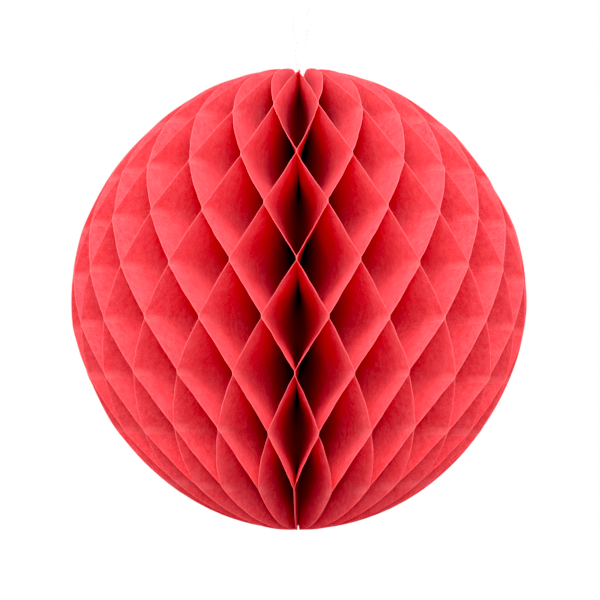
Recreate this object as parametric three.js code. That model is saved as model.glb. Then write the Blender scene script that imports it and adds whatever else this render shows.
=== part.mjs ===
// Hanging paper honeycomb ball, opened out.
//
// Fifty half-disc tissue leaves stand round a vertical spine. Each leaf zigzags between the two
// radial planes that bound its wedge: at every glue row it lies against one neighbour, and at
// the next row against the other, which leaves diamond cells open at the rim. Two half-disc
// cover boards close the ring, back to back, behind the spine. A knotted thread loop hangs it.
//
// Millimetres, +Z up. The origin is the seat of the hanging loop, where the hook bears; the
// spine runs straight down below it. The closed seam faces +Y and the ball's front faces -Y.
// Heights named below are measured from the ball's centre unless they say otherwise.

import * as THREE from 'three';

const rad = (degrees) => degrees * Math.PI / 180;

// ---- driving dimensions -----------------------------------------------------------------
const RADIUS = 100;            // ball radius at the equator
const BALL_Z = -204;           // ball centre from the hook seat

const LEAVES = 50;             // tissue leaves in the full turn
const PITCH = 360 / LEAVES;    // degrees from leaf to leaf
const SHEET = 0.3;             // leaf thickness
const INNER = 3.4;             // radius where the leaves and boards start
const INNER_END = 8.6;         // the same for the two leaves beside the boards
const LEAF_SHARES = [0, 0.5, 1];      // columns across a leaf, as shares from spine to rim

const GLUE_GAP = 0.1;          // clear gap between two leaves at a glue row
const GLUE_HALF = 1.5;         // half the height of a glue row
const ROW_STEP = 22.15;        // from one glue row to the next, along the spine
const ROW_ZERO_Z = -15.52;     // height of glue row 0
const FIRST_ROW = -5;          // highest glue row
const LAST_ROW = 3;            // lowest glue row
const DRAW_IN = 0.28;          // how strongly the open cells pull the rows towards the equator

const BOARD = 0.5;             // cover board thickness
const BOARD_EDGE = 0.15;       // least board thickness, at the spine
const BOARD_SHARES = [0, 0.06, 1];    // columns across a board
const BOARD_GAP = 0.02;        // extra gap between a board and the leaf beside it
const SEAM_HALF = 0.06;        // half the gap between the two boards

const MARGIN_R = 1.9;          // bound margin of the leaves, along the spine
const MARGIN_TOP = 95;

// ---- leaf outline -----------------------------------------------------------------------
const SPINE_TOP = 98.5;        // leaf corner at the spine, above and below the centre
const CREST_R = 9;             // distance from the axis to the rim's end at each pole
const LOW_LINE_Z = -90;        // spine height of the line just below the glue rows

// Rim of a leaf: latitude in degrees, distance from the ball's centre as a share of RADIUS.
const RIM = [
  [0, 1.0], [13, 0.994], [29, 0.985], [42, 0.987],
  [56, 0.997], [66, 1.004], [80, 1.012], [90, 1.015],
];

// Lines near the poles, bottom to top: height at the spine, distance of the rim point from the
// axis, and the latitude whose rim distance places that point.
const BOTTOM_LINES = [[-SPINE_TOP, CREST_R, 85], [-SPINE_TOP + 3, 24, 76]];
const TOP_LINES = [[SPINE_TOP - 0.7, 20, 79], [SPINE_TOP, CREST_R, 85]];

function rimDistance(latitude) {
  const next = RIM.findIndex(([degrees], n) => n > 0 && latitude <= degrees);
  const [startLatitude, startShare] = RIM[next - 1];
  const [endLatitude, endShare] = RIM[next];
  const along = (latitude - startLatitude) / (endLatitude - startLatitude);
  return RADIUS * (startShare + (endShare - startShare) * along);
}

// The rim point, as [radius, height], of the line that starts at height z on the spine.
// The latitude is found by bisection, since the pull towards the equator depends on it.
function rimPoint(z) {
  const pointAt = (latitude) => {
    const distance = rimDistance(latitude);
    return [distance * Math.cos(rad(latitude)), distance * Math.sin(rad(latitude))];
  };
  let low = 0;
  let high = 90;
  for (let n = 0; n < 50; n++) {
    const middle = (low + high) / 2;
    const [radius, height] = pointAt(middle);
    const pull = DRAW_IN * (rad(PITCH) * radius / ROW_STEP) ** 2;
    if (height < Math.abs(z) * Math.sqrt(1 - pull)) low = middle;
    else high = middle;
  }
  const [radius, height] = pointAt(low);
  return [radius, Math.sign(z) * height];
}

// Lines across a leaf from its spine edge to its rim, bottom to top. Each holds the height at
// the spine, the rim point, and the glue row whose side of the wedge the leaf keeps to there.
function leafLines() {
  const poleLine = (row) => ([z, radius, latitude]) => {
    const height = Math.sqrt(rimDistance(latitude) ** 2 - radius ** 2);
    return { z, rim: [radius, Math.sign(z) * height], row };
  };
  const drawnLine = (z, row) => ({ z, rim: rimPoint(z), row });

  const lines = BOTTOM_LINES.map(poleLine(LAST_ROW));
  lines.push(drawnLine(LOW_LINE_Z, LAST_ROW));
  for (let row = LAST_ROW; row >= FIRST_ROW; row--) {
    const z = ROW_ZERO_Z - row * ROW_STEP;
    lines.push(drawnLine(z - GLUE_HALF, row), drawnLine(z + GLUE_HALF, row));
  }
  lines.push(...TOP_LINES.map(poleLine(FIRST_ROW)));
  return lines;
}
const LINES = leafLines();

// ---- leaves and boards ------------------------------------------------------------------

// A half disc made from a box: x runs from the spine to the rim, z along the spine and y
// through the sheet. facesAt() gives the two faces' y at a radius on a line.
function halfDisc(inner, shares, facesAt) {
  const columns = shares.length - 1;
  const rows = LINES.length - 1;
  const geometry = new THREE.BoxGeometry(1, 1, 1, columns, 1, rows);
  const vertices = geometry.attributes.position;
  for (let n = 0; n < vertices.count; n++) {
    const share = shares[Math.round((vertices.getX(n) + 0.5) * columns)];
    const line = LINES[Math.round((vertices.getZ(n) + 0.5) * rows)];
    const [rimR, rimZ] = line.rim;
    const radius = inner + (rimR - inner) * share;
    const z = line.z + (rimZ - line.z) * (radius - INNER) / (rimR - INNER);
    const [low, high] = facesAt(radius, line);
    vertices.setXYZ(n, radius, vertices.getY(n) > 0 ? high : low, z);
  }
  // Both faces of a twisted sheet need their quads cut along the same diagonal, so the quads
  // of the -y face, the box's group 3, are cut the other way.
  const { index, groups } = geometry;
  const { start, count } = groups[3];
  for (let n = start; n < start + count; n += 6) {
    const [a, b, d, , c] = index.array.slice(n, n + 5);
    [a, b, c, a, c, d].forEach((corner, m) => index.setX(n + m, corner));
  }
  geometry.computeVertexNormals();
  return geometry;
}

// Distance from the seam plane to the face of a cover board that meets a leaf.
const boardFace = (radius) => (
  SEAM_HALF + Math.min(BOARD, Math.max(BOARD_EDGE, BOARD * radius / INNER_END))
);

// Leaves touch the higher-angle side of their wedge at every other row, neighbours alternating.
const touchesHigh = (leaf, row) => (leaf + row) % 2 === 0;

function leafGeometry(leaf) {
  const isFirst = leaf === 1;
  const isLast = leaf === LEAVES;
  const slope = Math.tan(rad(PITCH / 2));
  return halfDisc(isFirst || isLast ? INNER_END : INNER, LEAF_SHARES, (radius, line) => {
    const reach = radius * slope - GLUE_GAP / 2;
    const boardRoom = boardFace(radius) + BOARD_GAP;
    const low = -reach + (isFirst ? boardRoom : 0);
    const high = reach - (isLast ? boardRoom : 0);
    return touchesHigh(leaf, line.row) ? [high - SHEET, high] : [low, low + SHEET];
  });
}

function addLeaves() {
  for (let leaf = 1; leaf <= LEAVES; leaf++) {
    const name = `leaf_${String(leaf).padStart(2, '0')}`;
    // Counted anticlockwise seen from above, starting at the seam on +Y.
    add(name, leafGeometry(leaf), tissue()).rotation.z = rad(PITCH * (leaf - 0.5) - 270);
  }
}

// The boards stand either side of the seam plane x = 0, behind the spine: a on -X, b on +X.
function addBoards() {
  const boards = {
    cover_board_a: (radius) => [SEAM_HALF, boardFace(radius)],
    cover_board_b: (radius) => [-boardFace(radius), -SEAM_HALF],
  };
  for (const [name, facesAt] of Object.entries(boards)) {
    add(name, halfDisc(INNER, BOARD_SHARES, facesAt), card()).rotation.z = rad(90);
  }
}

// Three strips between the boards, lying against board a and just clear of board b.
function addTapes() {
  const clearance = 0.01;
  const width = 12;
  const height = 34;
  // name, distance behind the spine, height of the strip's centre
  const tapes = [['tape_upper', 66, 52], ['tape_middle', 84, 0], ['tape_lower', 66, -52]];
  for (const [name, y, z] of tapes) {
    const strip = new THREE.BoxGeometry(2 * SEAM_HALF - clearance, width, height);
    add(name, strip, tape()).position.set(-clearance / 2, y, z);
  }
}

// ---- spine binding and hanging thread ---------------------------------------------------
const STITCH_R = 2.35;         // radius of the stitch's helix round the bound margin
const STITCH_THREAD = 0.15;    // stitching thread's radius
const STITCH_TURNS = 14;
const STITCH_STEPS = 8;        // stations in one turn
const STITCH_TOP = MARGIN_TOP - 1;

const THREAD = 0.3;            // hanging thread's radius to its corners
const THREAD_FLATS = 6;
const RING_THREAD = 0.28;      // thread radius of the eye and the knot's ring
const RING_STEPS = 14;
const EYE_R = 1.1;
const EYE_Z = 96.5;
const KNOT_R = 1;
const KNOT_Z = 97.9;
const KNOT_BULGE = 0.5;        // extra thread radius at the top of the knot

const LOOP_FLAT_HALF = 1.5;    // half width of the loop's level top
const BEND_WIDTH = 4.6;        // each bend beside it, across and down
const BEND_DROP = BEND_WIDTH + 4;
const BEND_STEPS = 8;

// One strand from its lower end up to the bend: distance from the axis, height.
const STRAND = [
  [0.45, 99.8], [0.95, 101.4], [1.45, 103.5], [2.1, 112], [3.5, 132], [4.9, 155], [5.9, 178],
];

// A thread: a cylinder whose rings are carried along stations of a path. Each station gives the
// centre, the direction along the thread and the direction that one flat of it faces.
function threadGeometry(stations, radius, flats) {
  const steps = stations.length - 1;
  const geometry = new THREE.CylinderGeometry(1, 1, 1, flats, steps, false, Math.PI / flats);
  const vertices = geometry.attributes.position;
  const across = new THREE.Vector3();
  const point = new THREE.Vector3();
  for (let n = 0; n < vertices.count; n++) {
    const { centre, along, facing } = stations[Math.round((vertices.getY(n) + 0.5) * steps)];
    across.crossVectors(along, facing);
    point.copy(centre)
      .addScaledVector(across, vertices.getX(n) * radius)
      .addScaledVector(facing, vertices.getZ(n) * radius);
    vertices.setXYZ(n, point.x, point.y, point.z);
  }
  geometry.computeVertexNormals();
  return geometry;
}

function addMargin() {
  const margin = new THREE.CylinderGeometry(MARGIN_R, MARGIN_R, 2 * MARGIN_TOP, 12);
  add('spine_margin', margin, tissue()).rotation.x = Math.PI / 2;
}

// Whip stitch round the bound margin.
function addBinding() {
  const count = STITCH_TURNS * STITCH_STEPS;
  const pointAt = (n) => {
    const angle = n / STITCH_STEPS * Math.PI * 2;
    const z = -STITCH_TOP + 2 * STITCH_TOP * n / count;
    return new THREE.Vector3(STITCH_R * Math.cos(angle), STITCH_R * Math.sin(angle), z);
  };
  const stations = [];
  for (let n = 0; n <= count; n++) {
    const centre = pointAt(n);
    const along = pointAt(n + 0.5).sub(pointAt(n - 0.5)).normalize();
    const facing = new THREE.Vector3(-centre.x, -centre.y, 0).normalize();
    stations.push({ centre, along, facing });
  }
  add('binding_thread', threadGeometry(stations, STITCH_THREAD, 4), thread());
}

function addEye() {
  const ring = new THREE.TorusGeometry(EYE_R, RING_THREAD, 6, RING_STEPS);
  const eye = add('thread_eye', ring, thread());
  eye.rotation.x = Math.PI / 2;
  eye.position.z = EYE_Z;
}

// The knot: a ring through the eye that swells at its top. It is turned to stand across x.
function addKnot() {
  const geometry = new THREE.TorusGeometry(KNOT_R, RING_THREAD, 8, RING_STEPS);
  const vertices = geometry.attributes.position;
  for (let n = 0; n < vertices.count; n++) {
    const x = vertices.getX(n);
    const y = vertices.getY(n);
    const angle = Math.atan2(y, x);
    const centreX = KNOT_R * Math.cos(angle);
    const centreY = KNOT_R * Math.sin(angle);
    const grow = 1 + KNOT_BULGE / RING_THREAD * Math.max(0, Math.sin(angle)) ** 3;
    vertices.setXYZ(
      n,
      vertices.getZ(n) * grow,
      centreX + (x - centreX) * grow,
      centreY + (y - centreY) * grow,
    );
  }
  geometry.computeVertexNormals();
  add('loop_knot', geometry, thread()).position.z = KNOT_Z;
}

// The loop lies in the plane y = 0, with the lower flat of its level top on the hook seat.
function addLoop() {
  const top = -BALL_Z + THREAD * Math.cos(Math.PI / THREAD_FLATS);
  const half = [...STRAND];
  for (let n = 0; n <= BEND_STEPS; n++) {
    const angle = n / BEND_STEPS * Math.PI / 2;
    half.push([
      LOOP_FLAT_HALF + BEND_WIDTH * Math.cos(angle),
      top - BEND_DROP * (1 - Math.sin(angle)),
    ]);
  }
  const left = half.map(([x, z]) => new THREE.Vector3(-x, 0, z));
  const right = half.map(([x, z]) => new THREE.Vector3(x, 0, z)).reverse();
  const points = [...left, ...right];
  const yAxis = new THREE.Vector3(0, 1, 0);
  const stations = points.map((centre, n) => {
    const along = new THREE.Vector3(1, 0, 0);
    const isLevel = n === half.length - 1 || n === half.length;
    if (!isLevel) {
      const next = points[Math.min(n + 1, points.length - 1)];
      along.subVectors(next, points[Math.max(n - 1, 0)]).normalize();
    }
    return { centre, along, facing: new THREE.Vector3().crossVectors(yAxis, along) };
  });
  add('hanging_loop', threadGeometry(stations, THREAD, THREAD_FLATS), thread());
}

// ---- materials --------------------------------------------------------------------------
const matte = (look) => new THREE.MeshStandardMaterial({ ...look, metalness: 0 });
const tissue = () => matte({ color: 0xcc222b, roughness: 0.85 });
const card = () => matte({ color: 0xb81c26, roughness: 0.8 });
const thread = () => matte({ color: 0xf2efe9, roughness: 0.7 });
const tape = () => matte({ color: 0xe9e4d8, roughness: 0.6 });

// ---- assembly ---------------------------------------------------------------------------
const model = new THREE.Group();
const ball = new THREE.Group();
ball.position.z = BALL_Z;
model.add(ball);

function add(name, geometry, material) {
  const mesh = new THREE.Mesh(geometry, material);
  mesh.name = name;
  ball.add(mesh);
  return mesh;
}

addLeaves();
addBoards();
addTapes();
addMargin();
addBinding();
addEye();
addKnot();
addLoop();

export default model;
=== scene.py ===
"""Hanging tissue honeycomb ball: fifty tissue leaves round an upright spine, between two cover
boards, with a stitched margin, three adhesive strips, and a thread eye, knot and hanging loop.

The spine runs along Z. The front of the ball faces -Y and the seam between the boards faces +Y,
with board a on its -X side and board b on its +X side. Every leaf is a thin closed sheet that
zigzags between the glue rows it shares with its two neighbours.

Lengths in the helpers are millimetres from the ball's centre. They become metres in the row
frame when a mesh is made. Angles are in degrees; the angle round the spine is 0 at the front
and grows towards +X.
"""

import math

import bmesh
import bpy
import numpy as np
from mathutils import Matrix, Vector


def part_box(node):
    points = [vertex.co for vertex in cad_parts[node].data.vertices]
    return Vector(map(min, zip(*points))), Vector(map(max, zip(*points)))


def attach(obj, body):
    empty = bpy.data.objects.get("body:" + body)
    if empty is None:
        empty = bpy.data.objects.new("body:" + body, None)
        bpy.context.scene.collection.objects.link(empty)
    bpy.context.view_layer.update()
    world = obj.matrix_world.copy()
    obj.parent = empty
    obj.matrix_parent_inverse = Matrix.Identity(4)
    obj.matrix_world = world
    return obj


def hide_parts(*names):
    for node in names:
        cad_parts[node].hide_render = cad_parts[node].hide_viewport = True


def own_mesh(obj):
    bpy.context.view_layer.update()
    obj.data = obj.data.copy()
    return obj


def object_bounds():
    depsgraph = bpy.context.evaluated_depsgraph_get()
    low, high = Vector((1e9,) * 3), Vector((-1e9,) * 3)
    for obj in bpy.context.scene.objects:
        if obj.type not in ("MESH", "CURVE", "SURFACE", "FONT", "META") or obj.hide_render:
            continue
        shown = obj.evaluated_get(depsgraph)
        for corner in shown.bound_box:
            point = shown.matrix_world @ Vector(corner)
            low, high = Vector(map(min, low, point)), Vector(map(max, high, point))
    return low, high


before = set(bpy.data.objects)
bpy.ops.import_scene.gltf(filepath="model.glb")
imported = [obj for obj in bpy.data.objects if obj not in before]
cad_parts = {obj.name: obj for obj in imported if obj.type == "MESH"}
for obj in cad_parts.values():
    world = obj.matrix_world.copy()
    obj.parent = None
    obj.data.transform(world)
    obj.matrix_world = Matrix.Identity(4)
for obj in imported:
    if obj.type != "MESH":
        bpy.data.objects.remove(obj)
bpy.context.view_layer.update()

# ------------------------------------------------------------------ dimensions (mm)
MM = 0.001
LEAVES = 50
FRONT_LEAVES = (LEAVES // 2, LEAVES // 2 + 1)
END_LEAVES = (1, LEAVES)  # the two that lie against a board
PITCH = 360.0 / LEAVES  # degrees from leaf to leaf
HALF = PITCH / 2

# Glue rows, numbered downwards
ROW_STEP, ROW_ZERO = 22.15, -15.52
FIRST_ROW, LAST_ROW = -5, 3
GLUE = 0.8  # half the height of a glue row where it still shows as one sheet
GLUE_EASE = 0.35  # from the end of the glue to the next station

RADIUS = 100.0
INNER, INNER_END = 3.4, 8.6  # where the sheets start, and where the end leaves start
SPINE_TOP = 98.5
LOW_END, HIGH_END = -86.0, 96.4  # past these heights the sheet closes in to the spine
CREST_LAT = 84.9
DRAW_IN = 0.28  # how strongly the open cells shorten the ball

BOARD, BOARD_EDGE, SEAM_HALF = 0.5, 0.15, 0.06
SHEET = 0.09  # tissue, drawn a little over its real thickness
EDGE = 0.19  # the cut edge, which fluffs out
EDGE_REACH = 0.3
FACE_OFFSET = SHEET / 2 + 0.012  # from a glue plane to the middle of a sheet

board_low, board_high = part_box("cover_board_a")
CENTRE = Vector((0.0, 0.0, (board_low.z + board_high.z) / 2))

# The outline: latitude above or below mid-height, and distance from the centre over RADIUS
OUTLINE = np.array([
    (0, 1.0), (13, 0.994), (29, 0.985), (42, 0.987),
    (56, 0.997), (66, 1.004), (80, 1.012), (90, 1.015),
])

# Where hand-opened cells sit off their even places: (degrees round, mm up). Each glue row lists
# every second glue plane, centred on the front. Plane j is j pitches round from the front.
ROW_OFFSETS = {
    -4: [(0.14, -1.57), (-0.55, 0.17), (0.05, 1.14), (0.95, 0.44)],
    -3: [(-0.93, -0.84), (-0.16, -1.31), (0.07, -0.38), (0.26, 0.13), (0.57, 0.15),
         (0.57, -1.0), (-0.32, -1.64)],
    -2: [(-0.16, -0.02), (-0.18, -0.29), (-0.06, -1.31), (0.27, 0.38), (0.39, 1.25),
         (0.2, 0.17), (-0.26, -0.4), (-0.8, 0.32)],
    -1: [(-0.01, 0.98), (-0.09, 0.45), (0.11, -0.45), (0.4, -0.26), (0.58, -0.13),
         (0.11, 0.13), (-0.36, -0.06), (-0.76, 0.92), (-0.84, 1.6)],
    0: [(-0.27, 0.91), (0.02, 0.36), (0.36, -0.42), (0.25, -0.44), (0.5, -0.38),
        (-0.28, -0.06), (-0.26, 0.62), (-0.78, 1.15)],
    1: [(-0.23, 1.2), (-0.18, 0.86), (-0.03, -0.01), (0.26, 0.04), (-0.02, 0.26),
        (-0.57, 1.09), (-0.18, -0.28)],
    2: [(0.01, 1.46), (0.18, 0.93), (-0.06, -1.08), (-0.3, -0.94), (0.27, -0.14), (-0.54, 1.6)],
    3: [(-1.3, -0.44), (-0.36, -1.5), (-0.39, -1.2), (0.68, -2.2), (1.5, -1.04)],
}
CORNERS = {
    (row, 2 * n + 1 - len(offsets)): offset
    for row, offsets in ROW_OFFSETS.items()
    for n, offset in enumerate(offsets)
}


def corner_offset(row, plane):
    """The listed offset of a corner, or a steady small one; none at the seam."""
    if (row, plane) in CORNERS:
        return CORNERS[row, plane]
    if abs(plane) == LEAVES // 2:
        return 0.0, 0.0
    rng = np.random.default_rng(7919 + 131 * (row + 10) + 17 * (plane + 40))
    around, up = rng.uniform(-1, 1, 2)
    return 0.42 * around, 0.75 * up


def smoothstep(share):
    return share * share * (3 - 2 * share)


def ease(share, amount=-0.08):
    """0 to 1, with slow ends for a positive amount and quick ends for a negative one."""
    return share + amount * (smoothstep(share) - share)


# ------------------------------------------------------------------ the leaf's outline
def smooth_outline():
    """Fine latitudes and centre distances, with the table's corners rounded off."""
    reach = 160
    lat = np.linspace(0, 90, 1801)
    rho = np.interp(lat, OUTLINE[:, 0], OUTLINE[:, 1] * RADIUS)
    kernel = np.hanning(reach + 1)
    kernel /= kernel.sum()
    mirrored = np.r_[rho[reach:0:-1], rho, rho[-2 : -reach - 2 : -1]]
    return lat, np.convolve(mirrored, kernel, "same")[reach:-reach]


FINE_LAT, FINE_RHO = smooth_outline()
FINE_R = FINE_RHO * np.cos(np.radians(FINE_LAT))
FINE_H = FINE_RHO * np.sin(np.radians(FINE_LAT))
# height on the spine of the line that meets the rim at each latitude
FINE_SPINE = FINE_H / np.sqrt(1 - DRAW_IN * (math.radians(PITCH) * FINE_R / ROW_STEP) ** 2)


def lat_of_spine(z):
    return np.interp(np.abs(z), FINE_SPINE, FINE_LAT) * np.sign(z)


def lat_of_height(z):
    return np.interp(np.abs(z), FINE_H, FINE_LAT) * np.sign(z)


def rim_at(lat):
    """Radius and height of the rim."""
    size = np.abs(lat)
    return np.interp(size, FINE_LAT, FINE_R), np.interp(size, FINE_LAT, FINE_H) * np.sign(lat)


def row_z(row):
    return ROW_ZERO - row * ROW_STEP


def spine_stations():
    """Heights on the spine, bottom to top, closer together beside each glue row."""
    beside, clear = 2.6, 4.4
    heights = [-SPINE_TOP, -98.0, -97.2, -96.2, -95.0, -93.6, -92.0, -90.0, -88.0, LOW_END]
    for row in range(LAST_ROW, FIRST_ROW - 1, -1):
        z = row_z(row)
        heights += [z - beside, z - GLUE - GLUE_EASE, z - GLUE, z]
        heights += [z + GLUE, z + GLUE + GLUE_EASE, z + beside]
        if row > FIRST_ROW:
            heights += list(np.linspace(z + clear, z + ROW_STEP - clear, 7))
    heights = [z for z in heights if z < HIGH_END]
    heights += [96.9, 97.3, 97.7, 98.0, 98.25, SPINE_TOP]
    return np.array(sorted(set(np.round(heights, 3))))


STATIONS = spine_stations()


def station_latitudes():
    """The rim latitude each station runs to, before the cells' own offsets."""
    lat = lat_of_spine(STATIONS)
    low = STATIONS < LOW_END
    low_lat = float(lat_of_spine(np.array([LOW_END]))[0])
    lat[low] = np.interp(
        STATIONS[low],
        [-SPINE_TOP, -97.2, -95.0, -92.0, LOW_END],
        [-CREST_LAT, -80.5, -75.5, -70.0, low_lat],
    )
    high = STATIONS > HIGH_END
    high_lat = float(lat_of_spine(np.array([HIGH_END]))[0])
    lat[high] = np.interp(
        STATIONS[high], [HIGH_END, 97.3, 98.0, SPINE_TOP], [high_lat, 74.7, 78.9, 82.5]
    )
    return lat


RIM_LATS = station_latitudes()
ROW_HEIGHTS = np.array([row_z(row) for row in range(FIRST_ROW, LAST_ROW + 1)])
ROW_DISTANCE = np.abs(STATIONS[:, None] - ROW_HEIGHTS[None, :]).min(1)


# ------------------------------------------------------------------ the leaf's middle surface
def draw_end(seed, gap_range, sway_limit):
    rng = np.random.default_rng(seed)
    return rng.uniform(*gap_range), rng.uniform(-sway_limit, sway_limit)


def end_angle(share, row_angle, row_side, gap, sway):
    """Angle of a free end, share of the way from the last glue to the tip."""
    return row_angle - row_side * HALF * gap * ease(share, 0.9) + sway * share * share


def leaf_profile(leaf):
    """Per station: rim latitude, angle off the leaf's middle at the rim and further in, and
    side (-1 to 1)."""
    planes = {-1: leaf - 1 - LEAVES // 2, 1: leaf - LEAVES // 2}
    rows = list(range(LAST_ROW, FIRST_ROW - 1, -1))
    heights = [row_z(row) for row in rows]
    sides = [1 if (leaf + row) % 2 == 0 else -1 for row in rows]
    offsets = [corner_offset(row, planes[side]) for row, side in zip(rows, sides)]
    angles = [side * HALF + offset[0] for side, offset in zip(sides, offsets)]
    lifts = [offset[1] for offset in offsets]
    low_end = draw_end(900 + planes[sides[0]], (0.03, 0.16), 0.6)
    high_end = draw_end(1900 + planes[sides[-1]], (0.05, 0.22), 0.7)

    angle, bend, sided, lift = np.zeros((4, len(STATIONS)))
    for n, z in enumerate(STATIONS):
        if z <= heights[0] + GLUE:
            share = np.clip((heights[0] - GLUE - z) / (heights[0] - GLUE + SPINE_TOP), 0, 1)
            angle[n] = bend[n] = end_angle(share, angles[0], sides[0], *low_end)
            sided[n] = sides[0]
            lift[n] = lifts[0] * (1 - share)
        elif z >= heights[-1] - GLUE:
            share = np.clip((z - heights[-1] - GLUE) / (SPINE_TOP - heights[-1] - GLUE), 0, 1)
            angle[n] = bend[n] = end_angle(share, angles[-1], sides[-1], *high_end)
            sided[n] = sides[-1]
            lift[n] = lifts[-1] * (1 - share)
        else:
            m = max(k for k in range(len(rows)) if heights[k] <= z + 1e-6)
            share = np.clip((z - heights[m] - GLUE) / (ROW_STEP - 2 * GLUE), 0, 1)
            swing = ease(share)
            if leaf in FRONT_LEAVES and rows[m + 1] == FIRST_ROW:
                swing = share - 0.55 * share * (1 - share)
            rise = np.clip((z - heights[m]) / ROW_STEP, 0, 1)
            angle[n] = angles[m] + (angles[m + 1] - angles[m]) * swing
            bend[n] = angles[m] + (angles[m + 1] - angles[m]) * ease(share, 1.0)
            sided[n] = sides[m] + (sides[m + 1] - sides[m]) * swing
            lift[n] = lifts[m] + (lifts[m + 1] - lifts[m]) * rise

    # the cells' lifts fade out from latitude 68 to 74
    rim_h = rim_at(RIM_LATS)[1]
    lifted = lat_of_height(rim_h + lift * np.clip((74 - np.abs(RIM_LATS)) / 6, 0, 1))
    lat = np.where(np.abs(RIM_LATS) < 72, lifted, RIM_LATS)
    return lat, angle, bend, sided


def sheet_radii(inner, rim_r, fractions, before_rim, band):
    """Grid of radii: even shares of the span, then set distances in a band before the rim."""
    span = rim_r - inner
    last = np.minimum(band, span * 0.4)
    body = inner + fractions[None, :] * (span - last)[:, None]
    rim = rim_r[:, None] - before_rim[None, :] * (last / band)[:, None]
    return np.hstack([body, rim])


LEAF_FRACTIONS = np.array([0, 0.07, 0.17, 0.29, 0.42, 0.55, 0.68, 0.8, 0.91, 1.0])
LEAF_BEFORE_RIM = np.array([1.1, 0.45, 0.16, 0.0])
LEAF_BAND = 2.2


def board_face(radius):
    """Distance from the seam to a board's inner face; the board thins towards the spine."""
    return SEAM_HALF + np.minimum(BOARD, np.maximum(BOARD_EDGE, BOARD * radius / INNER_END))


def rim_trim(leaf, rng):
    """How far a leaf's rim stands off the outline: no two are cut or stacked quite alike."""
    trim = rng.uniform(-0.3, 0.12)
    trim = trim + 0.16 * np.sin(STATIONS * rng.uniform(0.02, 0.05) + rng.uniform(0, 6.28))
    trim = trim + 0.05 * np.sin(STATIONS * 0.31 + rng.uniform(0, 6.28))
    if leaf in FRONT_LEAVES:
        # the two front leaves dip at the top
        trim = trim - 0.6 * np.clip((STATIONS - 88) / 8, 0, 1)
    return trim


def buckles(R, Z, rng):
    """Soft waves over the sheet, with a few creases across them."""
    wave = np.zeros_like(R)
    for _ in range(7):
        freq_r, freq_z = rng.uniform(0.025, 0.11), rng.uniform(0.05, 0.2)
        phase_r, phase_z = rng.uniform(0, 6.28), rng.uniform(0, 6.28)
        height = rng.uniform(0.12, 0.34)
        wave += height * np.sin(freq_r * R * 2 + phase_r) * np.sin(freq_z * Z * 2 + phase_z)
    for _ in range(5):
        crease_z, crease_r = rng.uniform(-85, 85), rng.uniform(60, 95)
        slope = rng.uniform(-0.6, 0.6)
        off_line = (Z - crease_z) - slope * (R - crease_r)
        across = np.exp(-((off_line / 2.2) ** 2))
        along = np.exp(-(((R - crease_r) / 16) ** 2))
        wave += rng.uniform(-0.42, 0.42) * across * along
    return wave


def leaf_points(leaf):
    """Grids of radius R, height Z, offset sideways Y and rim distance for the middle surface."""
    rng = np.random.default_rng(4000 + leaf)
    lat, angle, bend, sided = leaf_profile(leaf)
    rim_r, rim_h = rim_at(lat)
    flare = 1 + rim_trim(leaf, rng) / RADIUS
    rim_r, rim_h = rim_r * flare, rim_h * flare
    inner = (INNER_END if leaf in END_LEAVES else INNER) + rng.uniform(0, 0.15)
    R = sheet_radii(inner, rim_r, LEAF_FRACTIONS, LEAF_BEFORE_RIM, LEAF_BAND)
    rim_distance = rim_r[:, None] - R

    # free ends: the roots drop, and towards the top the sheet rises early into a rounded dip
    share = (R - INNER) / (rim_r - INNER)[:, None]
    top = smoothstep(np.clip((STATIONS - 93) / 5.5, 0, 1))
    low = smoothstep(np.clip((-STATIONS - 88) / 10.5, 0, 1))
    root = STATIONS - 1.5 * top - 3.0 * low
    risen = 1 - (1 - share) ** (1 + 1.3 * top[:, None])
    Z = root[:, None] + (rim_h - root)[:, None] * risen

    # the zigzag, crisper at the rim than 20 mm further in
    inward = smoothstep(np.clip(rim_distance / 20, 0, 1))
    turn = np.radians(angle[:, None] * (1 - inward) + bend[:, None] * inward)
    Y = R * np.tan(turn) - sided[:, None] * FACE_OFFSET

    # buckles between the glue rows, growing outwards and easing off close to the rim
    free = (1 - sided**2)[:, None]
    outward = np.clip((R - 12) / 60, 0, 1) ** 1.2
    outward = outward * (0.25 + 0.75 * np.clip(rim_distance / 16, 0, 1))
    wave = buckles(R, Z, rng)
    edge_wave = 0.10 * np.sin(STATIONS * rng.uniform(0.5, 0.8) + rng.uniform(0, 6.28))
    edge_wave = edge_wave + 0.06 * np.sin(STATIONS * 1.7 + rng.uniform(0, 6.28))
    Y += free * outward * wave + free * np.exp(-rim_distance / 1.5) * edge_wave[:, None]

    # the two end leaves lie against a board
    if leaf in END_LEAVES:
        wall = R * math.tan(math.radians(HALF)) - (board_face(R) + FACE_OFFSET + 0.02)
        Y = np.maximum(Y, -wall) if leaf == 1 else np.minimum(Y, wall)
    limit = R * math.tan(math.radians(HALF + 2.2)) - FACE_OFFSET
    return R, Z, np.clip(Y, -limit, limit), rim_distance


# ------------------------------------------------------------------ mesh helpers
def new_object(name, mesh, material):
    obj = bpy.data.objects.new(name, mesh)
    bpy.context.scene.collection.objects.link(obj)
    mesh.materials.append(material)
    return obj


def new_mesh(name, verts, faces):
    mesh = bpy.data.meshes.new(name)
    mesh.from_pydata([tuple(vert) for vert in verts], [], faces)
    mesh.update()
    return mesh


def shade_smooth(mesh):
    mesh.polygons.foreach_set("use_smooth", np.ones(len(mesh.polygons), bool))


def add_floats(mesh, name, values):
    attribute = mesh.attributes.new(name, "FLOAT", "POINT")
    attribute.data.foreach_set("value", np.asarray(values, np.float32))


def add_sheet_uv(mesh, coords):
    """One UV pair for each vertex."""
    corners = np.zeros(len(mesh.loops), np.int32)
    mesh.loops.foreach_get("vertex_index", corners)
    layer = mesh.uv_layers.new(name="sheet")
    layer.data.foreach_set("uv", coords[corners].astype(np.float32).ravel())


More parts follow.
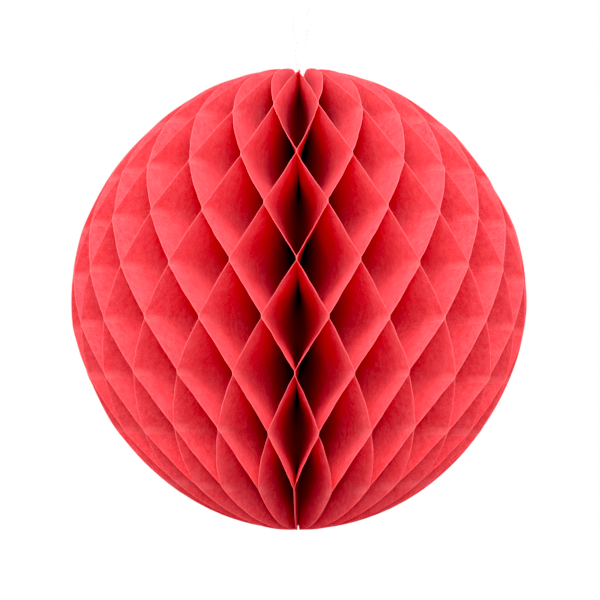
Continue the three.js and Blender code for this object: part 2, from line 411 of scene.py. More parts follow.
def ring_faces(rings, around, join=None):
    """Quads between stacked rings. With a join, the last ring meets the first, turned by it."""
    faces = []
    for ring in range(rings - 1 if join is None else rings):
        above = (ring + 1) % rings
        turn = join if above == 0 else 0
        for n in range(around):
            m = (n + 1) % around
            faces.append((
                ring * around + n,
                ring * around + m,
                above * around + (m + turn) % around,
                above * around + (n + turn) % around,
            ))
    return faces


def half_size_mm(node_name):
    """Half the width along X and half the height of a CAD piece."""
    low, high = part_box(node_name)
    return (high.x - low.x) / 2 * 1000, (high.z - low.z) / 2 * 1000


def place(obj, body, node_name):
    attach(obj, body)
    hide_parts(node_name)


def shell(name, R, Z, Y, thick, around, floats, material):
    """A closed thin body from a grid of middle points, facing out at an angle round the spine.
    Returns the object and its sideways direction."""
    rows, cols = R.shape
    phi = math.radians(around)
    radial = np.array([math.sin(phi), -math.cos(phi), 0.0])
    sideways = np.array([math.cos(phi), math.sin(phi), 0.0])
    upright = np.array([0, 0, 1.0])

    def face_points(offset):
        points = radial * R[..., None] + sideways * offset[..., None] + upright * Z[..., None]
        return (points * MM + np.array(CENTRE)).reshape(-1, 3)

    count = rows * cols
    verts = np.vstack([face_points(Y + thick / 2), face_points(Y - thick / 2)])
    idx = np.arange(count).reshape(rows, cols)
    quads = np.stack([idx[:-1, :-1], idx[:-1, 1:], idx[1:, 1:], idx[1:, :-1]], -1).reshape(-1, 4)
    border = np.concatenate([idx[0, :], idx[1:, -1], idx[-1, -2::-1], idx[-2:0:-1, 0]])
    following = np.roll(border, -1)
    walls = np.stack([border, following, following + count, border + count], -1)
    # the first skin is wound to look along +sideways, the second away from it
    faces = np.vstack([quads[:, ::-1], quads + count, walls])

    mesh = bpy.data.meshes.new(name)
    mesh.vertices.add(len(verts))
    mesh.vertices.foreach_set("co", verts.astype(np.float32).ravel())
    mesh.loops.add(faces.size)
    mesh.polygons.add(len(faces))
    mesh.loops.foreach_set("vertex_index", faces.astype(np.int32).ravel())
    mesh.polygons.foreach_set("loop_start", np.arange(0, faces.size, 4, dtype=np.int32))
    mesh.polygons.foreach_set("loop_total", np.full(len(faces), 4, np.int32))
    mesh.update(calc_edges=True)
    mesh.validate()
    shade_smooth(mesh)

    # cut edges stay crisp
    outline = np.sort(np.stack([border, following], -1), 1)
    cut = {tuple(pair) for pair in np.vstack([outline, outline + count]).tolist()}
    ends = np.zeros(len(mesh.edges) * 2, np.int32)
    mesh.edges.foreach_get("vertices", ends)
    ends = np.sort(ends.reshape(-1, 2), 1).tolist()
    sharp = mesh.attributes.new("sharp_edge", "BOOLEAN", "EDGE")
    sharp.data.foreach_set("value", np.array([tuple(pair) in cut for pair in ends]))

    for key, values in floats.items():
        add_floats(mesh, key, np.tile(np.asarray(values, np.float32).reshape(-1), 2))
    # sheet coordinates in units of 100 mm, which stay with the paper when it folds
    coords = np.stack([R.reshape(-1) / 100, Z.reshape(-1) / 100], -1)
    add_sheet_uv(mesh, np.vstack([coords, coords + [[0.37, 0.11]]]))
    return new_object(name, mesh, material), sideways


# ------------------------------------------------------------------ shader helpers
def add_node(tree, kind, inputs, **settings):
    """A node with its settings, and its inputs either linked or set to a value."""
    node = tree.nodes.new(kind)
    for key, value in settings.items():
        setattr(node, key, value)
    for key, value in inputs.items():
        if isinstance(value, bpy.types.NodeSocket):
            tree.links.new(value, node.inputs[key])
        else:
            node.inputs[key].default_value = value
    return node


def new_material(name):
    material = bpy.data.materials.new(name)
    material.use_nodes = True
    material.node_tree.nodes.clear()
    return material, material.node_tree


def calc(tree, operation, a, b, clamp=False):
    node = add_node(
        tree, "ShaderNodeMath", {0: a, 1: b}, operation=operation, use_clamp=clamp
    )
    return node.outputs[0]


def weighted_sum(tree, *terms):
    """Sum of (value, weight) pairs."""
    parts = [calc(tree, "MULTIPLY", value, weight) for value, weight in terms]
    total = parts[0]
    for part in parts[1:]:
        total = calc(tree, "ADD", total, part)
    return total


def mix_color(tree, share, a, b):
    """Input sockets 6 and 7 and output 2 are the mix node's colours."""
    node = add_node(tree, "ShaderNodeMix", {0: share, 6: a, 7: b}, data_type="RGBA")
    return node.outputs[2]


def tinted(tree, color, tint, mask, amount):
    return mix_color(tree, calc(tree, "MULTIPLY", mask, amount), color, tint)


def mix_shader(tree, share, a, b):
    return add_node(tree, "ShaderNodeMixShader", {0: share, 1: a, 2: b}).outputs[0]


def attribute_value(tree, name):
    return add_node(tree, "ShaderNodeAttribute", {}, attribute_name=name).outputs["Fac"]


def noise(tree, vector, scale, detail, roughness, distortion=0.0):
    inputs = {
        "Vector": vector,
        "Scale": scale,
        "Detail": detail,
        "Roughness": roughness,
        "Distortion": distortion,
    }
    return add_node(tree, "ShaderNodeTexNoise", inputs).outputs["Fac"]


def ramped(tree, value, start, stop):
    """0 at start to 1 at stop, easing at both ends."""
    inputs = {"Value": value, "From Min": start, "From Max": stop}
    node = add_node(tree, "ShaderNodeMapRange", inputs, interpolation_type="SMOOTHSTEP")
    return node.outputs["Result"]


def edge_mask(tree, rim, width):
    """1 at the cut edge, falling to 0 at width in mm."""
    return calc(tree, "SUBTRACT", 1.0, calc(tree, "DIVIDE", rim, width), clamp=True)


def color_ramp(tree, value, *stops):
    """Colour from a value through (position, RGBA) stops in rising order."""
    node = add_node(tree, "ShaderNodeValToRGB", {0: value})
    elements = node.color_ramp.elements
    for element, (position, color) in zip(list(elements), (stops[0], stops[-1])):
        element.position = position
        element.color = color
    for position, color in stops[1:-1]:
        elements.new(position).color = color
    return node.outputs[0]


def bump(tree, height, strength, distance):
    """Distance is in metres."""
    inputs = {"Height": height, "Strength": strength, "Distance": distance}
    return add_node(tree, "ShaderNodeBump", inputs).outputs[0]


def uv_vector(tree):
    return add_node(tree, "ShaderNodeUVMap", {}, uv_map="sheet").outputs["UV"]


def sheet_vector(tree, leaf_shift):
    """Sheet coordinates, moved on for each leaf so no two look alike."""
    shift = calc(tree, "MULTIPLY", attribute_value(tree, "leaf"), leaf_shift)
    lifted = add_node(tree, "ShaderNodeCombineXYZ", {"Z": shift}).outputs[0]
    inputs = {0: uv_vector(tree), 1: lifted}
    return add_node(tree, "ShaderNodeVectorMath", inputs, operation="ADD").outputs[0]


def stretched(tree, vector, x, y):
    inputs = {"Scale": (x, y, 1.0), "Vector": vector}
    return add_node(tree, "ShaderNodeMapping", inputs).outputs[0]


def output_surface(tree, shader, kind="ShaderNodeOutputMaterial"):
    add_node(tree, kind, {"Surface": shader})


def output_principled(tree, color, normal, inputs):
    inputs = {**inputs, "Base Color": color, "Normal": normal}
    output_surface(tree, add_node(tree, "ShaderNodeBsdfPrincipled", inputs).outputs[0])


# ------------------------------------------------------------------ materials
TISSUE = (0.940, 0.158, 0.184, 1.0)
TISSUE_LIGHT = (0.972, 0.224, 0.252, 1.0)
TISSUE_DARK = (0.890, 0.098, 0.122, 1.0)
# the next three are painted light: a highlight tint for cut edges and glue rows, then shade tints
# for far inside the cells and round the spine
TISSUE_EDGE_HIGHLIGHT = (0.99, 0.34, 0.36, 1.0)
TISSUE_DEEP_SHADE = (0.855, 0.010, 0.030, 1.0)
TISSUE_CORE_SHADE = (0.08, 0.0, 0.001, 1)
TISSUE_FIBRE = (0.45, 0.006, 0.012, 1)
TISSUE_SHEEN = (1.0, 0.16, 0.18, 1)
CARD_DARK = (0.50, 0.018, 0.028, 1)
CARD_LIGHT = (0.70, 0.035, 0.05, 1)
CARD_WORN = (0.38, 0.17, 0.14, 1)
WHITE_DARK = (0.60, 0.597, 0.59, 1)
WHITE_LIGHT = (0.68, 0.677, 0.67, 1)
STITCH_DARK = (0.16, 0.002, 0.004, 1)
STITCH_LIGHT = (0.34, 0.006, 0.012, 1)
TAPE_DARK = (0.66, 0.60, 0.49, 1)
TAPE_LIGHT = (0.86, 0.82, 0.73, 1)
WHITE = (1, 1, 1, 1)


def tissue_color(tree, sheet, cloud, grain):
    broad = noise(tree, sheet, scale=9.0, detail=2.0, roughness=0.5)
    fibre = noise(
        tree, stretched(tree, sheet, x=1, y=0.12),
        scale=330.0, detail=2.0, roughness=0.5, distortion=1.2,
    )
    tone = weighted_sum(tree, (cloud, 0.3), (grain, 0.56), (broad, 0.14))
    color = color_ramp(tree, tone, (0.41, TISSUE_DARK), (0.5, TISSUE), (0.605, TISSUE_LIGHT))
    # painted shade: a deeper, purer red towards the spine, standing in for light that has passed
    # through several sheets
    rim = attribute_value(tree, "rim_mm")
    depth_shade = ramped(tree, attribute_value(tree, "depth_mm"), start=6.0, stop=30.0)
    color = tinted(tree, color, TISSUE_DEEP_SHADE, mask=depth_shade, amount=0.15)
    # painted shade: near black round the spine, far inside the cells where little light gets in
    core = ramped(tree, attribute_value(tree, "spine_mm"), start=60.0, stop=14.0)
    core = calc(tree, "MULTIPLY", core, ramped(tree, rim, start=14.0, stop=40.0))
    color = tinted(tree, color, TISSUE_CORE_SHADE, mask=core, amount=0.6)
    # single dark fibres here and there
    speck = calc(tree, "GREATER_THAN", fibre, 0.74)
    color = tinted(tree, color, TISSUE_FIBRE, mask=speck, amount=0.08)
    # glue rows: painted highlight, slightly paler strips near the rim where the glued sheets catch
    # the light
    strip = ramped(tree, attribute_value(tree, "row_mm"), start=2.0, stop=1.2)
    strip = calc(tree, "MULTIPLY", strip, ramped(tree, rim, start=14.0, stop=3.0))
    color = tinted(tree, color, TISSUE_EDGE_HIGHLIGHT, mask=strip, amount=0.26)
    # painted highlight: the cut edge paler, where its fluffed fibres catch the light
    edge = edge_mask(tree, rim, width=0.42)
    return tinted(tree, color, TISSUE_EDGE_HIGHLIGHT, mask=edge, amount=0.65)


def tissue_material():
    """Thin dyed paper that lets light through."""
    material, tree = new_material("tissue_red")
    sheet = sheet_vector(tree, leaf_shift=3.17)
    # cloudy fibre formation, about 2 mm, over a finer felted grain
    cloud = noise(
        tree, stretched(tree, sheet, x=1, y=0.8), scale=46.0, detail=4.0, roughness=0.62
    )
    grain = noise(
        tree, stretched(tree, sheet, x=1, y=0.9),
        scale=215.0, detail=3.0, roughness=0.65, distortion=0.3,
    )
    color = tissue_color(tree, sheet, cloud, grain)
    height = weighted_sum(tree, (grain, 0.7), (cloud, 1.3))
    normal = bump(tree, height, strength=0.35, distance=0.00012)
    face = {"Color": color, "Normal": normal}
    diffuse = add_node(tree, "ShaderNodeBsdfDiffuse", {**face, "Roughness": 0.6})
    through = add_node(tree, "ShaderNodeBsdfTranslucent", face)
    # more light comes through where the formation is open
    openness = calc(tree, "ADD", 0.24, calc(tree, "MULTIPLY", cloud, 0.18))
    paper = mix_shader(tree, openness, diffuse.outputs[0], through.outputs[0])
    sheen = add_node(tree, "ShaderNodeBsdfSheen", {"Color": TISSUE_SHEEN, "Roughness": 0.5})
    sheen_share = 0.05
    output_surface(tree, mix_shader(tree, sheen_share, paper, sheen.outputs[0]))
    return material


def card_material():
    """Red board with a duller, worn cut edge."""
    material, tree = new_material("cover_card_red")
    sheet = sheet_vector(tree, leaf_shift=1.9)
    fine = noise(
        tree, stretched(tree, sheet, x=1, y=0.5), scale=150.0, detail=5.0, roughness=0.65
    )
    broad = noise(tree, sheet, scale=12.0, detail=3.0, roughness=0.5)
    tone = weighted_sum(tree, (fine, 0.6), (broad, 0.4))
    color = color_ramp(tree, tone, (0.38, CARD_DARK), (0.66, CARD_LIGHT))
    wear = edge_mask(tree, attribute_value(tree, "rim_mm"), width=0.22)
    wear = calc(tree, "MULTIPLY", wear, calc(tree, "ADD", 0.35, fine))
    color = mix_color(tree, wear, color, CARD_WORN)
    normal = bump(tree, tone, strength=0.4, distance=0.0001)
    output_principled(tree, color, normal, {"Roughness": 0.8, "Specular IOR Level": 0.12})
    return material


def thread_material(name, dark, light):
    """Fibres drawn out along the thread, with slow slubs."""
    material, tree = new_material(name)
    along = uv_vector(tree)
    fibre = noise(
        tree, stretched(tree, along, x=1.0, y=14.0), scale=26.0, detail=4.0, roughness=0.6
    )
    slub = noise(tree, along, scale=3.0, detail=2.0, roughness=0.5)
    tone = weighted_sum(tree, (fibre, 0.7), (slub, 0.3))
    color = color_ramp(tree, tone, (0.3, dark), (0.62, light))
    normal = bump(tree, fibre, strength=0.5, distance=0.00004)
    finish = {"Roughness": 0.68, "Sheen Weight": 0.5, "Sheen Roughness": 0.4}
    output_principled(tree, color, normal, finish)
    return material


def tape_material():
    material, tree = new_material("adhesive_tape")
    place_vector = add_node(tree, "ShaderNodeTexCoord", {}).outputs["Object"]
    fine = noise(tree, place_vector, scale=900.0, detail=4.0, roughness=0.6)
    broad = noise(tree, place_vector, scale=120.0, detail=3.0, roughness=0.5)
    tone = weighted_sum(tree, (fine, 0.5), (broad, 0.5))
    color = color_ramp(tree, tone, (0.35, TAPE_DARK), (0.65, TAPE_LIGHT))
    normal = bump(tree, fine, strength=0.3, distance=0.00005)
    output_principled(tree, color, normal, {"Roughness": 0.42})
    return material


MAT_TISSUE = tissue_material()
MAT_CARD = card_material()
MAT_THREAD = thread_material("white_thread", WHITE_DARK, WHITE_LIGHT)
MAT_STITCH = thread_material("red_stitch_thread", STITCH_DARK, STITCH_LIGHT)
MAT_TAPE = tape_material()


def build_leaf(leaf):
    R, Z, Y, rim_distance = leaf_points(leaf)
    node_name = f"leaf_{leaf:02d}"
    floats = {
        "rim_mm": rim_distance,
        "row_mm": np.repeat(ROW_DISTANCE[:, None], R.shape[1], 1),
        # spine_mm and depth_mm set where the tissue is painted darker as shade towards the spine
        "spine_mm": R,
        "depth_mm": rim_distance / (0.12 + 0.88 * (R[:, -1:] / RADIUS)),
        "leaf": np.full(R.shape, float(leaf)),
    }
    thick = SHEET + (EDGE - SHEET) * np.exp(-((rim_distance / EDGE_REACH) ** 2))
    around = -180 + PITCH * (leaf - 0.5)
    obj, sideways = shell(f"tissue_{node_name}", R, Z, Y, thick, around, floats, MAT_TISSUE)
    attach(obj, node_name)
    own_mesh(obj)
    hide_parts(node_name)


for leaf_number in range(1, LEAVES + 1):
    build_leaf(leaf_number)


# ------------------------------------------------------------------ cover boards
BOARD_FRACTIONS = np.array([0, 0.02, 0.05, 0.09, 0.2, 0.35, 0.5, 0.65, 0.8, 0.92, 1.0])
BOARD_BEFORE_RIM = np.array([1.0, 0.4, 0.15, 0.05, 0.0])
BOARD_BAND = 1.6
BOARD_INSET = 0.25  # short of the leaves' rim
BOARD_ROUNDING = 0.16
BOARD_HEIGHT_SCALE = 0.9985


def build_board(letter, body, seam_side, board_number):
    """Half disc of card, pressed thin where it is bound, with softly rounded cut edges."""
    rim_r, rim_h = rim_at(RIM_LATS)
    rim_r = rim_r - BOARD_INSET
    R = sheet_radii(INNER, rim_r, BOARD_FRACTIONS, BOARD_BEFORE_RIM, BOARD_BAND)
    share = (R - INNER) / (rim_r - INNER)[:, None]
    Z = STATIONS[:, None] + (rim_h - STATIONS)[:, None] * share
    Z = Z * BOARD_HEIGHT_SCALE
    rim_distance = rim_r[:, None] - R
    full = board_face(R) - SEAM_HALF
    from_edge = np.clip(1 - rim_distance / BOARD_ROUNDING, 0, 1)
    rounded = np.sqrt(np.clip(1 - from_edge**2, 0.06, 1))
    thick = full * (0.55 + 0.45 * rounded) - 0.01
    floats = {
        "rim_mm": rim_distance,
        "row_mm": np.full(R.shape, 50.0),
        "leaf": np.full(R.shape, board_number),
    }
    Y = seam_side * (SEAM_HALF + full / 2)
    board, _ = shell(f"card_{letter}", R, Z, Y, thick, 180.0, floats, MAT_CARD)
    place(board, body, f"cover_board_{letter}")


# at the back, sideways is -X, so board a (x < 0) has the positive offset
build_board("a", "spine", seam_side=1, board_number=60.0)
build_board("b", "board_b", seam_side=-1, board_number=61.0)


# ------------------------------------------------------------------ adhesive strips (metres)
STRIP_CORNER, STRIP_CORNER_STEPS = 0.0016, 5
STRIP_WOBBLE = 0.00006
STRIP_THICKNESS_SCALE = 0.96
STRIP_LEVELS = (-0.5, -0.25, 0.25, 0.5)  # shares of the thickness, along X


def build_strip(node_name):
    """A thin plate across X with rounded corners and a slightly uneven outline."""
    low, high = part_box(node_name)
    middle = (low + high) / 2
    half_y, half_z, thickness = (high.y - low.y) / 2, (high.z - low.z) / 2, high.x - low.x
    outline = []
    for quarter, (sign_y, sign_z) in enumerate(((1, 1), (-1, 1), (-1, -1), (1, -1))):
        for n in range(STRIP_CORNER_STEPS + 1):
            turn = math.radians(90 * quarter + 90 * n / STRIP_CORNER_STEPS)
            outline.append((
                sign_y * (half_y - STRIP_CORNER) + STRIP_CORNER * math.cos(turn),
                sign_z * (half_z - STRIP_CORNER) + STRIP_CORNER * math.sin(turn),
            ))
    verts = []
    for level in STRIP_LEVELS:
        x = middle.x + level * thickness * STRIP_THICKNESS_SCALE
        for n, (y, z) in enumerate(outline):
            wobble = STRIP_WOBBLE * math.sin(n * 2.3)
            verts.append((x, middle.y + y + wobble, middle.z + z - wobble))
    count = len(outline)
    faces = ring_faces(len(STRIP_LEVELS), count)
    faces.append(tuple(reversed(range(count))))
    faces.append(tuple(range(len(verts) - count, len(verts))))
    mesh = new_mesh("strip_" + node_name, verts, faces)
    bm = bmesh.new()
    bm.from_mesh(mesh)
    bmesh.ops.recalc_face_normals(bm, faces=bm.faces)
    bmesh.ops.triangulate(bm, faces=[face for face in bm.faces if len(face.verts) > 4])
    bm.to_mesh(mesh)
    bm.free()
    place(new_object("strip_" + node_name, mesh, MAT_TAPE), "spine", node_name)


for strip in ("tape_upper", "tape_middle", "tape_lower"):
    build_strip(strip)


# ------------------------------------------------------------------ bound margin
STITCH_TURNS = 14


def build_margin():
    """The leaves' inner edges gathered and glued: a ribbed core, pinched by each stitch."""
    radius, top = half_size_mm("spine_margin")
    around, levels = 200, 190
    turn, z = np.meshgrid(
        np.linspace(0, 2 * math.pi, around, endpoint=False), np.linspace(-top, top, levels)
    )
    ribs = 0.10 * np.abs(np.sin(turn * LEAVES / 2)) ** 0.7
    wound = 2 * math.pi * STITCH_TURNS * (z + top) / (2 * top)
    pinch = 0.07 * (0.5 + 0.5 * np.cos(wound - turn))
    end = np.clip((top - np.abs(z)) / 1.2, 0, 1)
    r = (radius - 0.14 + ribs - pinch) * (0.86 + 0.14 * np.sqrt(end))
    skin = np.stack([r * np.cos(turn), r * np.sin(turn), z], -1).reshape(-1, 3)
    caps = np.array([[0, 0, -top], [0, 0, top]])
    verts = np.vstack([skin, caps]) * MM + np.array(CENTRE)

    faces = ring_faces(levels, around)
    bottom_cap, top_cap = len(skin), len(skin) + 1
    last_ring = (levels - 1) * around
    for n in range(around):
        m = (n + 1) % around
        faces.append((m, n, bottom_cap))
        faces.append((last_ring + n, last_ring + m, top_cap))
    mesh = new_mesh("bound_margin", verts, faces)
    shade_smooth(mesh)
    # these values give the margin the tissue's full painted shade, as round the spine
    floats = {"rim_mm": 40.0, "depth_mm": 40.0, "row_mm": 9.0, "spine_mm": 8.0, "leaf": 70.0}
    for key, value in floats.items():
        add_floats(mesh, key, np.full(len(verts), value))
    number = np.arange(len(verts))
    add_sheet_uv(mesh, np.stack([(number % around) * 0.0006, (number // around) * 0.01], -1))
    place(new_object("bound_margin", mesh, MAT_TISSUE), "spine", "spine_margin")


build_margin()


# ------------------------------------------------------------------ threads
PLIES = 2


def smooth_path(points, count, closed=False):
    """Evenly spaced points on a smooth (Catmull-Rom) curve through the given ones."""
    p = np.array(points, float)
    if closed:
        p = np.vstack([p[-2:], p, p[:3]])
        first, stop = 2, len(p) - 3
    else:
        p = np.vstack([2 * p[0] - p[1], p, 2 * p[-1] - p[-2]])
        first, stop = 1, len(p) - 2
    fine = []
    for n in range(first, stop):
        p0, p1, p2, p3 = p[n - 1 : n + 3]
        linear = -p0 + p2
        square = 2 * p0 - 5 * p1 + 4 * p2 - p3
        cube = -p0 + 3 * p1 - 3 * p2 + p3
        for t in np.linspace(0, 1, 24, endpoint=False):
            fine.append(0.5 * ((2 * p1) + linear * t + square * t * t + cube * t**3))
    fine.append(p[stop])
    fine = np.array(fine)
    length = np.r_[0, np.cumsum(np.linalg.norm(np.diff(fine, axis=0), axis=1))]
    wanted = np.linspace(0, length[-1], count, endpoint=not closed)
    return np.stack([np.interp(wanted, length, fine[:, axis]) for axis in range(3)], -1)


def path_frames(path, closed):
    """Tangents and two untwisted cross directions, and the angle they slip by at the join."""
    if closed:
        tangent = np.roll(path, -1, 0) - np.roll(path, 1, 0)
    else:
        tangent = np.gradient(path, axis=0)
    tangent /= np.linalg.norm(tangent, axis=1)[:, None]

    def squared(direction, along):
        across = direction - (direction @ along) * along
        return across / np.linalg.norm(across)

    reference = np.array([0.0, 1.0, 0.0])
    if abs(tangent[0] @ reference) > 0.9:
        reference = np.array([1.0, 0.0, 0.0])
    frames = [squared(reference, tangent[0])]
    for along in tangent[1:]:
        frames.append(squared(frames[-1], along))
    across = np.array(frames)
    slip = 0.0
    if closed:
        last = squared(across[-1], tangent[0])
        slip = math.atan2(np.cross(last, across[0]) @ tangent[0], last @ across[0])
    return tangent, across, np.cross(tangent, across), slip


def build_thread(name, path, radius, lay, seed, ring=12, closed=False, material=MAT_THREAD):
    """A twisted thread: one skin whose section is the outline of its plies, turned along the
    path. lay is the length of one twist."""
    count = len(path)
    tangent, across, other, slip = path_frames(path, closed)
    travelled = np.r_[0, np.cumsum(np.linalg.norm(np.diff(path, axis=0), axis=1))]
    total = travelled[-1] + (np.linalg.norm(path[0] - path[-1]) if closed else 0)
    turns = total / lay
    join = None
    if closed:
        # the twist comes round a whole number of plies; the join is shifted to match
        turns = round(turns * PLIES) / PLIES
        join = round(turns * ring) % ring

    phases = np.random.default_rng(seed).uniform(0, 6.28, 3)
    verts = []
    for k in range(count):
        share = travelled[k] / total
        twist = 2 * math.pi * turns * share + slip * share
        body = 1 + 0.05 * math.sin(travelled[k] * 0.9 + phases[0])
        body += 0.03 * math.sin(travelled[k] * 2.3 + phases[1])
        for b in np.linspace(0, 2 * math.pi, ring, endpoint=False):
            lobe = abs(math.cos(PLIES * b / 2))
            r = radius * body * (0.76 + 0.24 * lobe**0.8)
            direction = across[k] * math.cos(b + twist) + other[k] * math.sin(b + twist)
            verts.append(path[k] + direction * r)
    faces = ring_faces(count, ring, join)
    if not closed:
        for k, outward in ((0, -1), (count - 1, 1)):
            tip = len(verts)
            verts.append(path[k] + tangent[k] * outward * radius * 0.45)
            for n in range(ring):
                x, y = k * ring + n, k * ring + (n + 1) % ring
                faces.append((y, x, tip) if outward < 0 else (x, y, tip))

    mesh = new_mesh(name, np.array(verts) * MM + np.array(CENTRE), faces)
    shade_smooth(mesh)
    number = np.arange(len(verts))
    along = travelled[np.minimum(number // ring, count - 1)] * 0.25
    add_sheet_uv(mesh, np.stack([along, (number % ring) / ring], -1))
    return new_object(name, mesh, material)


def build_whip_stitch():
    """The stitch wound round the bound margin."""
    inset, per_turn = 0.15, 16
    half_width, half_height = half_size_mm("binding_thread")
    radius, top = half_width - inset, half_height - inset
    steps = STITCH_TURNS * per_turn
    path = []
    for n in range(steps + 1):
        turn = n / per_turn * 2 * math.pi
        path.append((radius * math.cos(turn), radius * math.sin(turn), -top + 2 * top * n / steps))
    stitch = build_thread(
        "whip_stitch", smooth_path(path, 1100),
        radius=0.19, lay=1.5, seed=5, ring=10, material=MAT_STITCH,
    )
    place(stitch, "spine", "binding_thread")


def build_eye():
    """The upright ring at the top of the spine, in the XZ plane."""
    low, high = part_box("thread_eye")
    z = ((low.z + high.z) / 2 - CENTRE.z) * 1000
    radius = half_size_mm("thread_eye")[0] - 0.28
    path = [
        (radius * math.cos(turn), 0.0, z + radius * math.sin(turn))
        for turn in np.linspace(0, 2 * math.pi, 24, endpoint=False)
    ]
    path = smooth_path(path, 96, closed=True)
    eye = build_thread("eye_thread", path, radius=0.27, lay=1.7, seed=6, closed=True)
    place(eye, "spine", "thread_eye")


def build_knot():
    """An overhand knot drawn down on the ring that passes through the eye, in the YZ plane."""
    ring_z = (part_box("loop_knot")[0].z - CENTRE.z) * 1000 + 0.28 + 1.0
    ring_radius = 0.98
    ball_z = ring_z + 1.12
    ring = [
        (0.0, ring_radius * math.cos(turn), ring_z + ring_radius * math.sin(turn))
        for turn in np.linspace(math.radians(-232), math.radians(52), 26)
    ]
    wraps = []
    for n, turn in enumerate(np.linspace(0, 4 * math.pi, 40)):
        ripple = math.sin(turn * 1.5)
        wraps.append((
            0.50 * math.cos(turn) * (1 + 0.12 * ripple),
            0.58 * math.sin(turn),
            ball_z - 0.26 + 0.52 * n / 39 + 0.10 * ripple,
        ))
    # the wraps' end points are left out, so the ring runs smoothly into them
    path = smooth_path(ring + wraps[2:-1], 190)
    knot = build_thread("knot_thread", path, radius=0.25, lay=1.6, seed=8)
    place(knot, "knot", "loop_knot")


# (x, z) up one strand of the hanging loop
STRAND = [
    (0.45, 99.95), (0.8, 101.0), (1.38, 103.5), (2.1, 112), (2.8, 122), (3.5, 132),
    (4.2, 143.5), (4.9, 155), (5.45, 166), (5.9, 178), (6.1, 187),
]


def build_loop():
    """Two strands up from the knot, rounded over to meet at the top."""
    radius = 0.3
    seat = (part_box("hanging_loop")[1].z - CENTRE.z) * 1000 - radius
    strand = STRAND + [(6.08, seat - 7.6)]
    for n in range(1, 9):
        turn = n / 8 * math.pi / 2
        strand.append((1.5 + 4.6 * math.cos(turn), seat - 8.6 * (1 - math.sin(turn))))
    left = [(-x, 0.05 * math.sin(z * 0.21), z) for x, z in strand]
    right = [(x, 0.05 * math.sin(z * 0.17 + 1), z) for x, z in reversed(strand)]
    path = smooth_path(left + right, 1300)
    loop = build_thread("loop_thread", path, radius=radius, lay=1.5, seed=9)
    place(loop, "hanger", "hanging_loop")


build_whip_stitch()
build_eye()
build_knot()
build_loop()


# ------------------------------------------------------------------ studio (metres)
FLOOR_SIZE, FLOOR_CELLS = 9.0, 48
FLOOR_DROP = 0.42  # below the lowest point

# World light: an even base, plus light from above, from both sides along X and from the front
WORLD = {"base": 0.10, "up": 0.18, "side": 0.56, "front": 0.08}

# name, place from the centre, (width, height), power in watts
SOFTBOXES = [
    ("softbox_left", (-1.5, -0.75, 0.45), (1.2, 1.6), 11.8),
    ("softbox_right", (1.55, -0.6, 0.4), (1.2, 1.6), 10.8),
    ("softbox_key", (-0.05, -1.7, 1.05), (1.3, 1.0), 17),
    ("softbox_key_left", (-0.7, -1.6, 0.85), (0.9, 0.9), 14),
    ("softbox_key_right", (0.7, -1.6, 0.85), (0.9, 0.9), 12),
    ("softbox_front", (0.05, -1.75, 0.1), (0.5, 0.5), 12.5),
    ("softbox_back", (-0.2, 1.6, 0.5), (1.7, 1.3), 24),
    ("softbox_top", (-0.15, -0.7, 1.5), (1.4, 1.0), 2.6),
]


def floor_material():
    """Glowing white from above, clear from below so the underside can be looked at."""
    material, tree = new_material("studio_white")
    diffuse = add_node(tree, "ShaderNodeBsdfDiffuse", {"Color": (0.93, 0.93, 0.93, 1)})
    glow = add_node(tree, "ShaderNodeEmission", {"Color": WHITE, "Strength": 0.8})
    lit = add_node(tree, "ShaderNodeAddShader", {0: diffuse.outputs[0], 1: glow.outputs[0]})
    below = add_node(tree, "ShaderNodeNewGeometry", {}).outputs["Backfacing"]
    clear = add_node(tree, "ShaderNodeBsdfTransparent", {})
    output_surface(tree, mix_shader(tree, below, lit.outputs[0], clear.outputs[0]))
    return material


def build_floor():
    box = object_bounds()
    # bounds that don't come as a pair fall back to a set height
    lowest = box[0][2] if isinstance(box, (tuple, list)) else -0.31
    z = float(lowest) - FLOOR_DROP
    ticks = [-FLOOR_SIZE / 2 + FLOOR_SIZE * n / FLOOR_CELLS for n in range(FLOOR_CELLS + 1)]
    verts = [(x, y, z) for x in ticks for y in ticks]
    row = FLOOR_CELLS + 1
    faces = []
    for a in range(FLOOR_CELLS):
        for b in range(FLOOR_CELLS):
            k = a * row + b
            faces.append((k, k + row, k + row + 1, k + 1))  # facing up
    floor = new_object("studio_floor", new_mesh("studio_floor", verts, faces), floor_material())
    floor.visible_diffuse = False
    floor.visible_shadow = False


def build_world():
    """Graded light on the ball, plain white to the camera."""
    world = bpy.data.worlds.new("studio_world")
    bpy.context.scene.world = world
    world.use_nodes = True
    tree = world.node_tree
    tree.nodes.clear()
    toward = add_node(tree, "ShaderNodeTexCoord", {}).outputs["Generated"]
    x, y, z = add_node(tree, "ShaderNodeSeparateXYZ", {0: toward}).outputs
    up = calc(tree, "MULTIPLY", calc(tree, "MAXIMUM", z, 0.0), WORLD["up"])
    side = calc(tree, "MULTIPLY", calc(tree, "MULTIPLY", x, x), WORLD["side"])
    frontness = calc(tree, "MAXIMUM", calc(tree, "MULTIPLY", y, -1.0), 0.0)
    front = calc(tree, "MULTIPLY", frontness, WORLD["front"])
    level = calc(
        tree, "ADD", calc(tree, "ADD", up, side), calc(tree, "ADD", front, WORLD["base"])
    )
    lit = add_node(tree, "ShaderNodeBackground", {"Color": WHITE, "Strength": level})
    seen = add_node(tree, "ShaderNodeBackground", {"Color": WHITE, "Strength": 1.0})
    camera_ray = add_node(tree, "ShaderNodeLightPath", {}).outputs["Is Camera Ray"]
    shader = mix_shader(tree, camera_ray, lit.outputs[0], seen.outputs[0])
    output_surface(tree, shader, kind="ShaderNodeOutputWorld")


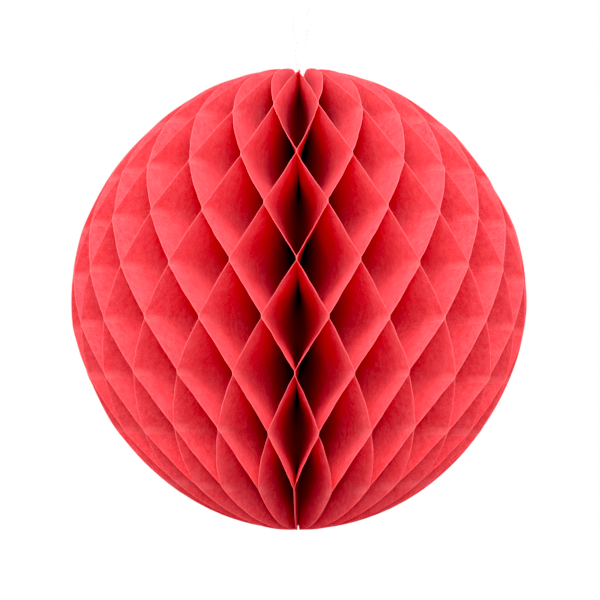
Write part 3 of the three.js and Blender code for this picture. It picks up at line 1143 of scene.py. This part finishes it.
def add_softbox(name, offset, size, power):
    """A rectangular light aimed at the ball's centre."""
    data = bpy.data.lights.new(name, "AREA")
    data.shape = "RECTANGLE"
    data.size, data.size_y = size
    data.energy = power
    obj = bpy.data.objects.new(name, data)
    bpy.context.scene.collection.objects.link(obj)
    obj.location = CENTRE + Vector(offset)
    direction = CENTRE - (CENTRE + Vector(offset))
    obj.rotation_euler = direction.to_track_quat("-Z", "Y").to_euler()
    obj.visible_camera = False


build_floor()
build_world()
for softbox in SOFTBOXES:
    add_softbox(*softbox)


# ------------------------------------------------------------------ camera
CAMERA_AZIMUTH, CAMERA_ELEVATION, CAMERA_ROLL = 1.187, -5.051, 0.378  # degrees
CAMERA_DISTANCE = 0.5912
CAMERA_LENS, CAMERA_SENSOR = 79.758, 36.0  # mm
CAMERA_SHIFT = (0.0015, -0.0027333)  # share of the sensor width


def build_camera():
    """In front of the ball and a little below it, looking at its centre."""
    azimuth, elevation = math.radians(CAMERA_AZIMUTH), math.radians(CAMERA_ELEVATION)
    outward = Vector((
        math.sin(azimuth) * math.cos(elevation),
        -math.cos(azimuth) * math.cos(elevation),
        math.sin(elevation),
    ))
    eye = CENTRE + outward * CAMERA_DISTANCE
    forward = (CENTRE - eye).normalized()
    right = forward.cross(Vector((0, 0, 1))).normalized()
    up = right.cross(forward)
    cos_roll, sin_roll = math.cos(math.radians(CAMERA_ROLL)), math.sin(math.radians(CAMERA_ROLL))
    rolled_right = right * cos_roll + up * sin_roll
    rolled_up = up * cos_roll - right * sin_roll
    data = bpy.data.cameras.new("camera")
    data.sensor_width = CAMERA_SENSOR
    data.lens = CAMERA_LENS
    data.shift_x, data.shift_y = CAMERA_SHIFT
    data.clip_start, data.clip_end = 0.01, 60
    obj = bpy.data.objects.new("camera", data)
    columns = zip(rolled_right, rolled_up, -forward, eye)
    obj.matrix_world = Matrix((*columns, (0, 0, 0, 1)))
    bpy.context.scene.collection.objects.link(obj)
    bpy.context.scene.camera = obj


def set_render():
    view = bpy.context.scene.view_settings
    view.view_transform = "Standard"
    view.look = "None"
    # the deepest tones are clipped, green soonest, which keeps the dark reds pure
    view.use_curve_mapping = True
    view.curve_mapping.black_level = (0.018, 0.026, 0.021)
    view.curve_mapping.update()
    # light wanders a long way between the leaves before it is lost
    cycles = bpy.context.scene.cycles
    cycles.max_bounces = 28
    cycles.diffuse_bounces = 20
    cycles.transmission_bounces = 20


build_camera()
set_render()
